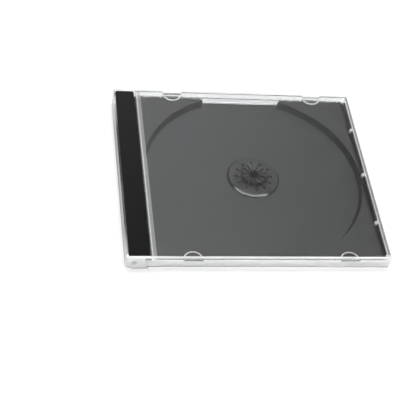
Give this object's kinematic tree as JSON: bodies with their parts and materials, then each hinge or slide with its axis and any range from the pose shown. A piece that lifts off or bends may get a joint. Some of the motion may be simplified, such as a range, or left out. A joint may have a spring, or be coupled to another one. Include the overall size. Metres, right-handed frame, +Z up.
{
  "type": "disc jewel case",
  "caption": "Flat clear plastic disc case, closed and empty, with a hinged lid over a dark tray that has a round disc recess and a sprung hub.",
  "frame": {"origin": "middle of the underside of the closed case", "axes": "+X from the hinge side to the opening side, +Y along the hinge, +Z up through the lid"},
  "size_m": [0.142, 0.1244, 0.0104],
  "materials": {
    "clear_base": "clear gloss",
    "dark_tray": "satin",
    "clear_lid": "clear gloss"
  },
  "bodies": {
    "base": {"base": "clear_base", "tray": "dark_tray"},
    "lid": {"lid": "clear_lid"}
  },
  "joints": [
    {"name": "lid_hinge", "type": "hinge", "parent": "base", "child": "lid", "pos_m": [-0.067, 0, 0.0052], "axis": [0, -1, 0], "range_deg": [0, 180]}
  ]
}
